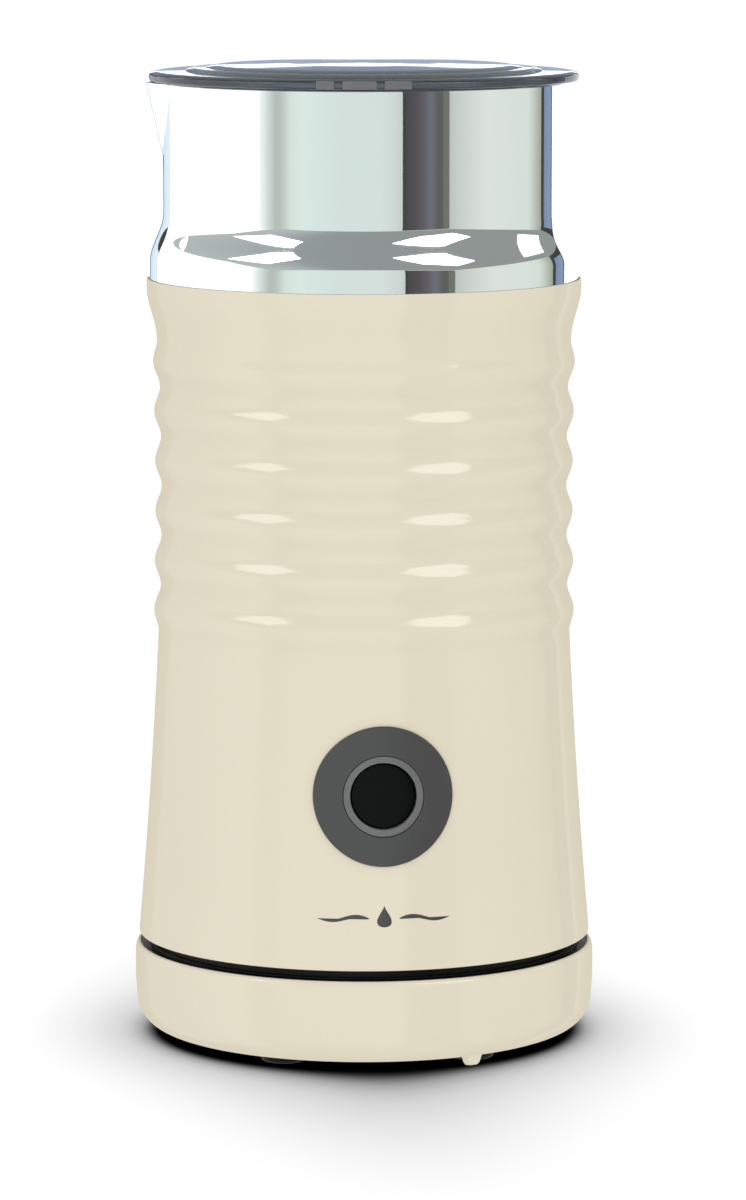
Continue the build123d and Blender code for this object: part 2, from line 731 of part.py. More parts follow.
with BuildPart() as status_leds:
    with BuildSketch(front(board_face)):
        with PolarLocations(7.7, 4, start_angle=45):
            Rectangle(1.0, 1.4)
    extrude(amount=1.1)
status_leds.part.label = "status_leds"
export_step(status_leds.part, "parts/status_leds.step")

with BuildPart() as tact_switch:
    with BuildSketch(front(board_face)):
        Rectangle(6, 6)
    extrude(amount=switch_front - board_face)
    with BuildSketch(front(switch_front - 2.4)):
        Circle(1.9)
    extrude(amount=2.4, mode=Mode.SUBTRACT)
tact_switch.part.label = "tact_switch"
export_step(tact_switch.part, "parts/tact_switch.step")

with BuildPart() as switch_plunger:
    with BuildSketch(front(switch_front - 1.4)):
        Circle(1.6)
    extrude(amount=cap_back - switch_front + 1.4)
switch_plunger.part.label = "switch_plunger"
export_step(switch_plunger.part, "parts/switch_plunger.step")

with BuildPart() as button_cap:
    with BuildSketch(front(switch_front - 0.8)):
        Circle(cap_r)
    extrude(amount=5)
    add(skirt_solid(cap_proud), mode=Mode.INTERSECT)
    with BuildSketch(front(switch_front - 0.8)):
        Circle(cap_r - 1.2)
    extrude(amount=cap_back - switch_front + 0.8, mode=Mode.SUBTRACT)
button_cap.part.label = "button_cap"
export_step(button_cap.part, "parts/button_cap.step")

# ---------------------------------------------------------------- jug: small screws
with BuildPart() as small_screws:
    # control board to its standoffs
    pegs(2.4, standoff_r, standoff_angles, board_top, board_top + 1.6)
    pegs(1.2, standoff_r, standoff_angles, board_low - 8, board_top)
    # clamp over the connector
    pegs(2.2, clamp_screw_r, clamp_angles, wall_top + 1.8, wall_top + 3.3)
    pegs(1.15, clamp_screw_r, clamp_angles, roof_top - 1.0, wall_top + 1.8)
    # motor to its bracket
    pegs(2.0, motor_screw_x, (0, 180), bracket_top, bracket_top + 1.3)
    pegs(1.2, motor_screw_x, (0, 180), can_top - 2.6, bracket_top)
    # button board to the bezel
    with BuildSketch(front(board_face - 2.8)):
        with Locations((-button_screw_x, 0), (button_screw_x, 0)):
            Circle(1.7)
    extrude(amount=1.2)
    with BuildSketch(front(board_face - 1.6)):
        with Locations((-button_screw_x, 0), (button_screw_x, 0)):
            Circle(0.85)
    extrude(amount=4.4)
small_screws.part.label = "small_screws"
export_step(small_screws.part, "parts/small_screws.step")

# ---------------------------------------------------------------- lid
with BuildPart() as lid_cover:
    with BuildSketch(Plane.XZ):
        with BuildLine():
            Polyline(
                (0, crown_top),
                (crown_r, crown_top),
                (crown_r, tier_top),
                (tier_r, tier_top),
                (tier_r, brim_top),
                (lid_r, brim_top),
                (lid_r, lid_low),
                (plug_r, lid_low),
                (plug_r, groove_top),
                (plug_r - groove_depth, groove_top),
                (plug_r - groove_depth, groove_low),
                (plug_r, groove_low),
                (plug_r, plug_low),
                (plug_r - plug_wall, plug_low),
                (plug_r - plug_wall, 207.0),
                (36.0, ceiling_z),
                (0, ceiling_z),
                (0, crown_top),
            )
        make_face()
    revolve(axis=Axis.Z)
    rounded = lid_cover.edges().filter_by(GeomType.CIRCLE)
    fillet(rounded.filter_by(lambda e: e.center().Z > lid_low - 0.1 and e.radius > 33), 0.35)
lid_cover.part.label = "lid_cover"
export_step(lid_cover.part, "parts/lid_cover.step")

with BuildPart() as lid_seal:
    with BuildSketch(Plane.XZ):
        with BuildLine():
            Polyline(
                (plug_r - 0.55, groove_low + gap),
                (plug_r + 0.4, groove_low + gap),
                (plug_r + 1.6, groove_low + 0.8),
                (plug_r + 0.5, groove_low + 1.2),
                (plug_r + 1.6, groove_top - 0.4),
                (plug_r + 0.4, groove_top - gap),
                (plug_r - 0.55, groove_top - gap),
                close=True,
            )
        make_face()
    revolve(axis=Axis.Z)
lid_seal.part.label = "lid_seal"
export_step(lid_seal.part, "parts/lid_seal.step")

# ---------------------------------------------------------------- whisk
with BuildPart() as whisk_bush:
    ring(bush_r, pin_r + 0.06, pot_floor + 0.6, 110.5)
    ring(bush_r + 1.6, pin_r + 0.06, pot_floor + 0.6, hub_low - 0.4)
whisk_bush.part.label = "whisk_bush"
export_step(whisk_bush.part, "parts/whisk_bush.step")

with BuildPart() as whisk_hub:
    ring(hub_r, bush_r + 0.06, hub_low, hub_top)
    pegs(2.5, whisk_magnet_r, (0, 90, 180, 270), 101.4, hub_top, Mode.SUBTRACT)
    # three spokes carry the ring that the coil is wound on
    with BuildSketch(Plane.XY.offset(coil_z - 0.9)):
        with PolarLocations((hub_r + coil_circle_r) / 2 - 0.3, 3, start_angle=30):
            Rectangle(coil_circle_r - hub_r + 0.6, 2.2)
    extrude(amount=1.8)
    with BuildSketch(Plane.XZ):
        with Locations((coil_circle_r, coil_z)):
            Circle(1.1)
    revolve(axis=Axis.Z)
whisk_hub.part.label = "whisk_hub"
export_step(whisk_hub.part, "parts/whisk_hub.step")

with BuildPart() as whisk_coil:
    # envelope of the wire's turns, in three lengths between the spokes
    for turn in (36, 156, 276):
        with BuildSketch(Plane.XZ.rotated((0, 0, turn))):
            with Locations((coil_circle_r, coil_z)):
                Circle(coil_r)
                Circle(1.25, mode=Mode.SUBTRACT)
        revolve(axis=Axis.Z, revolution_arc=108)
whisk_coil.part.label = "whisk_coil"
export_step(whisk_coil.part, "parts/whisk_coil.step")

with BuildPart() as whisk_magnets:
    pegs(2.4, whisk_magnet_r, (0, 90, 180, 270), 101.4, hub_top - 0.2)
whisk_magnets.part.label = "whisk_magnets"
export_step(whisk_magnets.part, "parts/whisk_magnets.step")

with BuildPart() as whisk_cap:
    ring(hub_r - 0.8, bush_r + 0.06, hub_top, hub_top + 1.2)
    ring(5.4, bush_r + 0.06, hub_top + 1.2, 112.5)
    ring(5.4, 0, 112.5, 114.0)
    fillet(whisk_cap.edges().group_by(Axis.Z)[-1], 1.0)
whisk_cap.part.label = "whisk_cap"
export_step(whisk_cap.part, "parts/whisk_cap.step")
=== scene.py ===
import bpy
import bmesh
import json
from math import cos, pi, radians, sin, sqrt
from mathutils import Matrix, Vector


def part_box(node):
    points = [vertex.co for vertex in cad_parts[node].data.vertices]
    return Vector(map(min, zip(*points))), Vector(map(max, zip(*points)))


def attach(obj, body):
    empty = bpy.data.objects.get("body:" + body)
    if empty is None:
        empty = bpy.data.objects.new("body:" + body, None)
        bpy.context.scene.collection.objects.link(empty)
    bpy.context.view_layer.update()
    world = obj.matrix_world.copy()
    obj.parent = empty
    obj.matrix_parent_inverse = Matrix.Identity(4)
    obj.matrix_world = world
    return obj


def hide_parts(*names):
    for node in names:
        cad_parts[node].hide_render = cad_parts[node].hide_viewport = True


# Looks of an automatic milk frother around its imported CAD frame. Metres, +Z up, button to -Y.
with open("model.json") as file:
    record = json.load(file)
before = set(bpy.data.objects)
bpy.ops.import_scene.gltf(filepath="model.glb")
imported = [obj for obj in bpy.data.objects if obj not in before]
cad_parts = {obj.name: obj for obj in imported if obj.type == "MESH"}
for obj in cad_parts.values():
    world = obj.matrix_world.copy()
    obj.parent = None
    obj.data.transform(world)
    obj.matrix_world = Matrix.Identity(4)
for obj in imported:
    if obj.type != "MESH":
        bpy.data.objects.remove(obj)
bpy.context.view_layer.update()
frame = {"nodes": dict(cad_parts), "record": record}

MM = 0.001
ROUND = 160              # segments round a turned piece
NOISE_RANGE = (0.3, 0.7)  # where most values of a noise texture lie


def span(node):
    """Radius, lowest and highest height of a CAD node that is round about the Z axis."""
    low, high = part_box(node)
    return (high.x - low.x) / 2, low.z, high.z


# ---------------------------------------------------------------- node helpers
def new_material(name, sockets):
    """Material with one Principled shader whose own sockets hold the fixed values."""
    material = bpy.data.materials.new(name)
    material.use_nodes = True
    shader = material.node_tree.nodes["Principled BSDF"]
    for socket, value in sockets.items():
        shader.inputs[socket].default_value = value
    return material


def shader_of(material):
    return material.node_tree.nodes["Principled BSDF"]


def add_node(material, kind, **values):
    node = material.node_tree.nodes.new(kind)
    for name, value in values.items():
        setattr(node, name, value)
    return node


def join(material, output, socket):
    material.node_tree.links.new(output, socket)


def object_point(material, stretch=(1, 1, 1)):
    """Object coordinates, scaled along each axis by stretch."""
    place = add_node(material, "ShaderNodeTexCoord")
    mapping = add_node(material, "ShaderNodeMapping")
    mapping.inputs["Scale"].default_value = stretch
    join(material, place.outputs["Object"], mapping.inputs["Vector"])
    return mapping.outputs["Vector"]


def noise(material, size, detail=3.0, stretch=(1, 1, 1)):
    """Noise whose features are about size metres across."""
    texture = add_node(material, "ShaderNodeTexNoise")
    texture.inputs["Scale"].default_value = 1 / size
    texture.inputs["Detail"].default_value = detail
    join(material, object_point(material, stretch), texture.inputs["Vector"])
    return texture.outputs["Fac"]


def cells(material, size):
    """Distance to the nearest of points about size metres apart."""
    texture = add_node(material, "ShaderNodeTexVoronoi")
    texture.inputs["Scale"].default_value = 1 / size
    join(material, object_point(material), texture.inputs["Vector"])
    return texture.outputs["Distance"]


def vary(material, factor, socket, low, high):
    """Drives one number of the shader between low and high."""
    change = add_node(material, "ShaderNodeMapRange")
    change.inputs["From Min"].default_value = NOISE_RANGE[0]
    change.inputs["From Max"].default_value = NOISE_RANGE[1]
    change.inputs["To Min"].default_value = low
    change.inputs["To Max"].default_value = high
    join(material, factor, change.inputs["Value"])
    join(material, change.outputs["Result"], shader_of(material).inputs[socket])


def ramp_through(material, factor, stops):
    """Colour ramp over factor through (place, colour) stops."""
    ramp = add_node(material, "ShaderNodeValToRGB")
    while len(ramp.color_ramp.elements) < len(stops):
        ramp.color_ramp.elements.new(0.5)
    for element, (place, colour) in zip(ramp.color_ramp.elements, stops):
        element.position = place
        element.color = (*colour, 1)
    join(material, factor, ramp.inputs["Fac"])
    return ramp


def tint(material, factor, stops):
    """Drives the shader's colour along a ramp of (place, colour) stops."""
    ramp = ramp_through(material, factor, stops)
    join(material, ramp.outputs["Color"], shader_of(material).inputs["Base Color"])


def bump(material, height, depth):
    """Raises the surface by about depth metres where height is high."""
    node = add_node(material, "ShaderNodeBump")
    node.inputs["Strength"].default_value = 1.0
    node.inputs["Distance"].default_value = depth
    join(material, height, node.inputs["Height"])
    join(material, node.outputs["Normal"], shader_of(material).inputs["Normal"])


def shades(colour, spread):
    """The same colour a little darker and a little lighter, as two ramp stops."""
    darker = tuple(c * (1 - spread) for c in colour)
    lighter = tuple(min(1.0, c * (1 + spread)) for c in colour)
    return [(NOISE_RANGE[0], darker), (NOISE_RANGE[1], lighter)]


# ---------------------------------------------------------------- materials
def moulded_plastic(name, colour, roughness, grain, depth, spread=0.04):
    """Moulded plastic: a little colour drift, uneven gloss and the mould's own grain."""
    material = new_material(name, {"IOR": 1.5})
    tint(material, noise(material, 30 * MM), shades(colour, spread))
    vary(material, noise(material, 8 * MM), "Roughness", roughness * 0.85, roughness * 1.15)
    bump(material, noise(material, grain, detail=2.0), depth)
    return material


def metal(name, colour, roughness, scratch=(1, 1, 1), depth=0.4e-6, spread=0.03):
    """Bare metal with fine scratches; scratch squeezes them across one axis."""
    material = new_material(name, {"Metallic": 1.0})
    tint(material, noise(material, 12 * MM), shades(colour, spread))
    streaks = noise(material, 1.5 * MM, detail=6.0, stretch=scratch)
    vary(material, streaks, "Roughness", roughness * 0.7, roughness * 1.3)
    bump(material, streaks, depth)
    return material


def soft_rubber(name, colour, roughness=0.7):
    """Rubber or silicone with a dusty, slightly uneven skin."""
    material = new_material(name, {"Sheen Weight": 0.15, "Sheen Roughness": 0.5})
    tint(material, noise(material, 4 * MM, detail=5.0), shades(colour, 0.12))
    vary(material, noise(material, 2 * MM), "Roughness", roughness * 0.9, roughness * 1.1)
    bump(material, noise(material, 0.35 * MM), 6e-6)
    return material


def glossy_cream():
    """Smooth cream plastic whose gloss doesn't flare up along the outline."""
    material = moulded_plastic("cream_plastic", CREAM, 0.085, 0.9 * MM, 0.3e-6, spread=0.008)
    facing = add_node(material, "ShaderNodeLayerWeight")
    fade = add_node(material, "ShaderNodeMapRange")
    fade.inputs["From Min"].default_value = 0.2
    fade.inputs["From Max"].default_value = 0.7
    fade.inputs["To Min"].default_value = 0.5
    fade.inputs["To Max"].default_value = 0.0
    join(material, facing.outputs["Facing"], fade.inputs["Value"])
    join(material, fade.outputs["Result"], shader_of(material).inputs["Specular IOR Level"])
    return material


def nonstick_coating():
    """Dark baked coating with the fine light flecks of such pots."""
    material = new_material("nonstick_coating", {"Coat Weight": 0.25, "Coat Roughness": 0.2})
    flecks = cells(material, 0.9 * MM)
    tint(material, flecks, [(0.05, (0.16, 0.16, 0.17)), (0.16, (0.032, 0.033, 0.035))])
    vary(material, noise(material, 5 * MM), "Roughness", 0.30, 0.42)
    bump(material, noise(material, 0.5 * MM), 5e-6)
    return material


def clear_plastic():
    """Clear, slightly smoky plastic of the lid, darker towards its brim."""
    material = new_material(
        "clear_plastic",
        {
            "Transmission Weight": 0.86,
            "IOR": 1.49,
            "Coat Weight": 0.05,
            "Coat Roughness": 0.02,
            "Specular IOR Level": 0.35,
        },
    )
    # distance from the axis in units of 0.1 m: clear up to 36 mm, smoky from 43 mm
    away = add_node(material, "ShaderNodeVectorMath", operation="LENGTH")
    join(material, object_point(material, (10, 10, 0)), away.inputs[0])
    tint(material, away.outputs["Value"], [(0.36, (0.50, 0.55, 0.61)), (0.43, (0.19, 0.215, 0.25))])
    vary(material, noise(material, 9 * MM), "Roughness", 0.015, 0.05)
    bump(material, noise(material, 14 * MM, detail=1.0), 8e-6)
    return material


def light_guide():
    """Frosted grey plastic that spreads the light of the LEDs behind it."""
    material = new_material(
        "light_guide", {"Subsurface Weight": 0.25, "Subsurface Scale": 0.001, "IOR": 1.49}
    )
    shader_of(material).inputs["Subsurface Radius"].default_value = (1, 1, 1)
    tint(material, noise(material, 3 * MM), shades((0.135, 0.135, 0.137), 0.05))
    vary(material, noise(material, 1.5 * MM), "Roughness", 0.34, 0.46)
    bump(material, noise(material, 0.2 * MM), 2e-6)
    return material


def circuit_board():
    """Green solder resist with paler tracks beneath it."""
    material = new_material("circuit_board", {"Coat Weight": 0.3, "Coat Roughness": 0.15})
    tracks = add_node(material, "ShaderNodeTexBrick", offset=0.37, squash=0.6)
    tracks.inputs["Scale"].default_value = 260
    tracks.inputs["Mortar Size"].default_value = 0.03
    join(material, object_point(material), tracks.inputs["Vector"])
    tint(material, tracks.outputs["Fac"], [(0.0, (0.012, 0.10, 0.035)), (1.0, (0.05, 0.24, 0.09))])
    vary(material, noise(material, 3 * MM), "Roughness", 0.35, 0.5)
    bump(material, tracks.outputs["Fac"], 10e-6)
    return material


def wound_wire():
    """Enamelled wire wound in tight turns about the Z axis."""
    material = new_material("wound_wire", {"Metallic": 0.85, "Coat Weight": 0.6})
    turns = add_node(material, "ShaderNodeTexWave", bands_direction="Z")
    turns.inputs["Scale"].default_value = 900
    turns.inputs["Distortion"].default_value = 0.6
    join(material, object_point(material), turns.inputs["Vector"])
    tint(material, turns.outputs["Fac"], [(0.0, (0.22, 0.07, 0.025)), (1.0, (0.78, 0.36, 0.16))])
    vary(material, noise(material, 2 * MM), "Roughness", 0.25, 0.4)
    bump(material, turns.outputs["Fac"], 60e-6)
    return material


CREAM = (0.667, 0.618, 0.488)
materials = {                  # one for each material slot
    "cream_shell": glossy_cream(),
    "black_plastic": moulded_plastic("black_plastic", (0.007, 0.007, 0.0075), 0.42, 0.25 * MM, 8e-6),
    "dark_trim": moulded_plastic("dark_trim", (0.052, 0.053, 0.051), 0.33, 0.2 * MM, 2e-6),
    "black_gloss": moulded_plastic("black_gloss", (0.002, 0.002, 0.002), 0.22, 1 * MM, 0.5e-6),
    "light_guide": light_guide(),
    "polished_steel": metal("polished_steel", (0.93, 0.945, 0.94), 0.035, (1, 1, 14), 0.05e-6, 0.004),
    "nonstick": nonstick_coating(),
    "clear_lid": clear_plastic(),
    "silicone": soft_rubber("silicone", (0.30, 0.31, 0.31), 0.5),
    "foot_rubber": soft_rubber("foot_rubber", (0.006, 0.006, 0.006)),
    "white_nylon": moulded_plastic("white_nylon", (0.62, 0.61, 0.56), 0.45, 0.5 * MM, 4e-6),
    "brass": metal("brass", (0.82, 0.60, 0.28), 0.25),
    "copper": wound_wire(),
    "aluminium": metal("aluminium", (0.72, 0.73, 0.74), 0.38, (1, 1, 1), 4e-6, 0.06),
    "steel": metal("steel", (0.56, 0.57, 0.58), 0.26, (1, 1, 6), 1e-6),
    "magnet": metal("magnet", (0.66, 0.66, 0.68), 0.16),
    "ferrite": moulded_plastic("ferrite", (0.035, 0.035, 0.037), 0.6, 0.3 * MM, 10e-6),
    "circuit_board": circuit_board(),
    "component_blue": moulded_plastic("component_blue", (0.012, 0.06, 0.22), 0.3, 0.4 * MM, 3e-6),
    "lead_sleeve": soft_rubber("lead_sleeve", (0.42, 0.03, 0.025), 0.6),
}

# the dark plastics and the rubber mirror less than plain plastic does
for name, level in (("black_gloss", 0.12), ("black_plastic", 0.25), ("foot_rubber", 0.15)):
    shader_of(materials[name]).inputs["Specular IOR Level"].default_value = level

# every CAD node that is carried over wears its slot's material
for part in frame["record"]["subparts"]:
    carried = frame["nodes"][part["node"]]
    carried.data.materials.clear()
    carried.data.materials.append(materials[part["material_slot"]])


# ---------------------------------------------------------------- mesh helpers
def finish_piece(name, mesh, body, slot, *nodes, sharp=35):
    """Puts a mesh in the scene as a piece that rides on a body and stands for CAD nodes."""
    work = bmesh.new()
    work.from_mesh(mesh)
    bmesh.ops.remove_doubles(work, verts=work.verts, dist=1e-7)
    bmesh.ops.recalc_face_normals(work, faces=work.faces)
    work.to_mesh(mesh)
    work.free()
    mesh.shade_smooth()
    mesh.set_sharp_from_angle(angle=radians(sharp))
    mesh.materials.clear()
    mesh.materials.append(materials[slot])
    piece = bpy.data.objects.new(name, mesh)
    bpy.context.scene.collection.objects.link(piece)
    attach(piece, body)
    if nodes:
        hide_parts(*nodes)


def grid_mesh(name, rows):
    """Quad mesh through rows of points; each row is closed, and the last row meets the first."""
    points = [p for row in rows for p in row]
    around = len(rows[0])
    faces = []
    for i in range(len(rows)):
        a = i * around
        b = ((i + 1) % len(rows)) * around
        for j in range(around):
            k = (j + 1) % around
            faces.append((a + j, a + k, b + k, b + j))
    mesh = bpy.data.meshes.new(name)
    mesh.from_pydata(points, [], faces)
    return mesh


def soften(corners, steps=5):
    """Closed outline in (radius, height) whose corners are rounded by their third value."""
    outline = []
    for i, (x, y, r) in enumerate(corners):
        if r <= 0:
            outline.append((x, y))
            continue
        here = Vector((x, y))
        before = Vector(corners[i - 1][:2]) - here
        after = Vector(corners[(i + 1) % len(corners)][:2]) - here
        half = before.angle(after) / 2
        reach = min(r / abs(sin(half) / cos(half)), before.length * 0.49, after.length * 0.49)
        start, end = here + before.normalized() * reach, here + after.normalized() * reach
        for s in range(steps + 1):
            t = s / steps
            point = start * (1 - t) ** 2 + here * 2 * t * (1 - t) + end * t ** 2
            outline.append((point.x, point.y))
    return outline


def spun(name, outline, around=ROUND, push=None):
    """Mesh of a closed outline turned about the Z axis; push(radius, height, angle) may move it."""
    rows = []
    for r, z in outline:
        row = []
        for step in range(around):
            a = 2 * pi * step / around
            reach = push(r, z, a) if push else r
            row.append((reach * cos(a), reach * sin(a), z))
        rows.append(row)
    return grid_mesh(name, rows)


def turned(name, corners, body, slot, *nodes, around=ROUND, sharp=35):
    """A round piece whose outline is given in millimetres as (radius, height, corner radius)."""
    outline = [(x * MM, z * MM) for x, z in soften(corners)]
    finish_piece(name, spun(name, outline, around), body, slot, *nodes, sharp=sharp)


def carve(mesh, cutter):
    """The mesh with another closed mesh cut out of it."""
    kept = bpy.data.objects.new("kept", mesh)
    tool = bpy.data.objects.new("tool", cutter)
    for o in (kept, tool):
        bpy.context.scene.collection.objects.link(o)
    cut = kept.modifiers.new("cut", "BOOLEAN")
    cut.object, cut.operation, cut.solver = tool, "DIFFERENCE", "EXACT"
    bpy.context.view_layer.update()
    depsgraph = bpy.context.evaluated_depsgraph_get()
    result = bpy.data.meshes.new_from_object(kept.evaluated_get(depsgraph))
    for o in (kept, tool):
        bpy.data.objects.remove(o)
    return result


def rod(name, radius, start, end, around=64):
    """Closed round bar between two points."""
    axis = (end - start).normalized()
    side = axis.orthogonal().normalized()
    up = axis.cross(side)
    work = bmesh.new()
    rings = []
    for centre in (start, end):
        turn = [2 * pi * i / around for i in range(around)]
        rings.append([work.verts.new(centre + (side * cos(t) + up * sin(t)) * radius) for t in turn])
    for i in range(around):
        j = (i + 1) % around
        work.faces.new((rings[0][i], rings[0][j], rings[1][j], rings[1][i]))
    work.faces.new(rings[0][::-1])
    work.faces.new(rings[1])
    bmesh.ops.recalc_face_normals(work, faces=work.faces)
    mesh = bpy.data.meshes.new(name)
    work.to_mesh(mesh)
    work.free()
    return mesh


# ---------------------------------------------------------------- sleeve
SKIRT_HOLLOW = 0.35 * MM       # how far the skirt bows inwards
RIBS = 6
RIB_START = 87.4 * MM
RIB_PITCH = 10.8 * MM
RIB_CREST = 45.6 * MM
RIB_VALLEY = 44.2 * MM
RIB_BOW = 0.38 * MM            # the ribbed part is a little slimmer halfway up
RIBS_END = RIB_START + RIBS * RIB_PITCH
WAIST = 44.7 * MM
MOUTH = 46.9 * MM
FLARE_START_R = RIB_VALLEY + 0.6 * MM
FLARE_HEIGHT = 10.4 * MM
LIP_HEIGHT = 12.6 * MM
LIP_FLARE = 0.1 * MM           # slow widening that goes on up to the mouth's lip
BORE_R = 42.2 * MM             # inside of the sleeve behind the ribs
BEZEL_HOLE_R = 12.3 * MM
foot_r, sleeve_low, sleeve_high = span("body_sleeve")


def skirt_radius(z):
    """Radius of the sleeve's tapered skirt, which bows slightly inwards."""
    t = (z - sleeve_low) / (RIB_START - sleeve_low)
    return foot_r + (WAIST - foot_r) * t - 4 * SKIRT_HOLLOW * t * (1 - t)


def sleeve_radius(z):
    """Radius of the sleeve's outside at a height."""
    if z <= RIB_START:
        return skirt_radius(z)
    middle = (RIB_CREST + RIB_VALLEY) / 2
    wave = (RIB_CREST - RIB_VALLEY) / 2
    if z < RIBS_END:
        ribbed = middle - wave * cos(2 * pi * (z - RIB_START) / RIB_PITCH)
        entry = max(0.0, 1 - (z - RIB_START) / (RIB_PITCH / 2))
        leaving = max(0.0, 1 - (RIBS_END - z) / (RIB_PITCH / 2))
        bow = RIB_BOW * sin(pi * (z - RIB_START) / (RIBS_END - RIB_START)) ** 2
        ends = (WAIST - RIB_VALLEY) * entry ** 2 + (FLARE_START_R - RIB_VALLEY) * leaving ** 2
        return ribbed - bow + ends
    t = min(1.0, (z - RIBS_END) / FLARE_HEIGHT)
    widening = (MOUTH - LIP_FLARE - FLARE_START_R) * t * t * (3 - 2 * t)
    return FLARE_START_R + widening + LIP_FLARE * (z - RIBS_END) / LIP_HEIGHT


def make_sleeve():
    """Ribbed outer sleeve with a hole behind the button's bezel."""
    row_step = 0.9 * MM
    count = int((sleeve_high - sleeve_low) / row_step)
    outside = [sleeve_low + (sleeve_high - sleeve_low) * i / count for i in range(1, count)]
    outline = [(sleeve_radius(sleeve_low) - 0.35 * MM, sleeve_low)]
    outline += [(sleeve_radius(sleeve_low) - 0.1 * MM, sleeve_low + 0.1 * MM)]
    outline += [(sleeve_radius(z), z) for z in outside]
    outline += [(MOUTH - 0.08 * MM, sleeve_high - 0.06 * MM), (MOUTH - 0.2 * MM, sleeve_high)]
    inside = ((46.45, 164.8), (46.45, 164.2), (43.9, 164.2), (43.9, 158.0), (42.2, 155.0))
    outline += [(r * MM, z * MM) for r, z in inside]
    outline += [(BORE_R, RIB_START), (foot_r - 2.6 * MM, sleeve_low)]
    mesh = spun("sleeve", outline, 192)
    low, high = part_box("button_bezel")
    middle_z = (low.z + high.z) / 2
    front, back = Vector((0, -55 * MM, middle_z)), Vector((0, -35 * MM, middle_z))
    hole = rod("hole", BEZEL_HOLE_R, back, front)
    finish_piece("sleeve", carve(mesh, hole), "jug", "cream_shell", "body_sleeve", sharp=30)


make_sleeve()


# ---------------------------------------------------------------- steel collar with its spout
STEEL = 0.8 * MM               # thickness of the sheet
COLLAR = 46.3 * MM             # outside radius below the shoulder
NECK = 43.35 * MM              # outside radius above it
SHOULDER = (168.5 * MM, 179.0 * MM)    # heights where it starts and ends
SPOUT_LOW = 191.2 * MM         # height where the spout starts to lean out
SPOUT_R = (4.0 * MM, 7.0 * MM)         # the cone's radius at its tip and at the rim
SPOUT_REACH = 46.9 * MM        # how far from the axis its lip lies
collar_high = span("chrome_collar")[2]


def collar_radius(z):
    """Radius of the collar's outside: straight, an S-shaped shoulder, then the straight neck."""
    t = min(1.0, max(0.0, (z - SHOULDER[0]) / (SHOULDER[1] - SHOULDER[0])))
    return COLLAR + (NECK - COLLAR) * t * t * (3 - 2 * t)


def spouted(radius, z, angle):
    """Radius pushed out at -X where the pouring spout, a widening cone, leans out of the neck."""
    if z < SPOUT_LOW:
        return radius
    inset = NECK - radius
    t = (z - SPOUT_LOW) / (collar_high - SPOUT_LOW)
    channel = SPOUT_R[0] + (SPOUT_R[1] - SPOUT_R[0]) * t
    centre = NECK + (SPOUT_REACH - NECK) * t - channel
    lobe = channel - inset
    away = angle - pi
    across = centre * sin(away)
    if cos(away) < 0 or abs(across) >= lobe:
        return radius
    gap = centre * cos(away) + sqrt(lobe ** 2 - across ** 2) - radius
    blend = 0.25 * MM * min(1.0, t * 5)
    return radius + (gap + sqrt(gap * gap + blend * blend)) / 2


def make_collar():
    """Steel collar from a double-walled outline, with a rolled rim and a spigot into the sleeve."""
    heights = [164.35 * MM, 165 * MM, 166.5 * MM]
    heights += [SHOULDER[0] + (SHOULDER[1] - SHOULDER[0]) * i / 24 for i in range(25)]
    heights += [SHOULDER[1] + 4 * MM, SHOULDER[1] + 8 * MM]
    heights += [SPOUT_LOW + (collar_high - 0.4 * MM - SPOUT_LOW) * i / 16 for i in range(17)]
    outside = [(collar_radius(z), z) for z in heights]
    rim = []
    roll = STEEL / 2
    for i in range(1, 8):
        turn = pi * i / 8
        rim.append((NECK - roll + roll * cos(turn), collar_high - roll + roll * sin(turn)))
    inside = [(collar_radius(z) - STEEL, z) for z in reversed(heights)]
    spigot = [(43.0, 164.9), (43.0, 158.3), (43.8, 158.3), (43.8, 164.2), (46.15, 164.2)]
    outline = outside + rim + inside[:-1] + [(45.5 * MM, 165.0 * MM)]
    outline += [(r * MM, z * MM) for r, z in spigot]
    mesh = spun("collar", outline, 360, spouted)
    finish_piece("collar", mesh, "jug", "polished_steel", "chrome_collar", sharp=40)


make_collar()


# ---------------------------------------------------------------- power base
base_r = span("base_shell")[0]
SOLE_R = 43.7                  # in millimetres, like the other numbers of the casing's outline
SOLE_Z = 1.6
BELLY = (6.0, 6.4)             # width and height of the rounding above the sole
RIM_FLAT_R = 49.1
RIM_Z = 17.9
RIM_ROUND = (0.9, 2.0)         # width and height of the rim's rounding
GLAND_HOLE_R = 5.1 * MM


def make_base_shell():
    """Casing of the power base, rounded below and at its rim, with a bore for the cord's gland."""
    outline = []
    for i in range(13):
        turn = pi / 2 * i / 12
        outline.append((SOLE_R + BELLY[0] * sin(turn), SOLE_Z + BELLY[1] * (1 - cos(turn))))
    outline += [(49.85, 10), (50.0, 12), (50.0, 15), (50.0, 17.5)]
    for i in range(1, 9):
        turn = pi / 2 * i / 8
        outline.append((RIM_FLAT_R + RIM_ROUND[0] * cos(turn), RIM_Z + RIM_ROUND[1] * sin(turn)))
    inside = ((47.0, 19.9), (47.0, 17.9), (45.6, 17.9), (45.6, 16.6), (47.6, 16.6), (47.6, 9.0))
    inside += ((46.5, 5.6), (44.4, 4.0), (43.6, 4.0), (43.6, 1.6))
    outline += inside
    mesh = spun("base_casing", [(r * MM, z * MM) for r, z in outline], 192)
    low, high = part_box("cord_gland")
    height = (low.z + high.z) / 2
    start, end = Vector((0, 40 * MM, height)), Vector((0, 60 * MM, height))
    hole = rod("hole", GLAND_HOLE_R, start, end)
    finish_piece("base_casing", carve(mesh, hole), "power_base", "cream_shell", "base_shell")


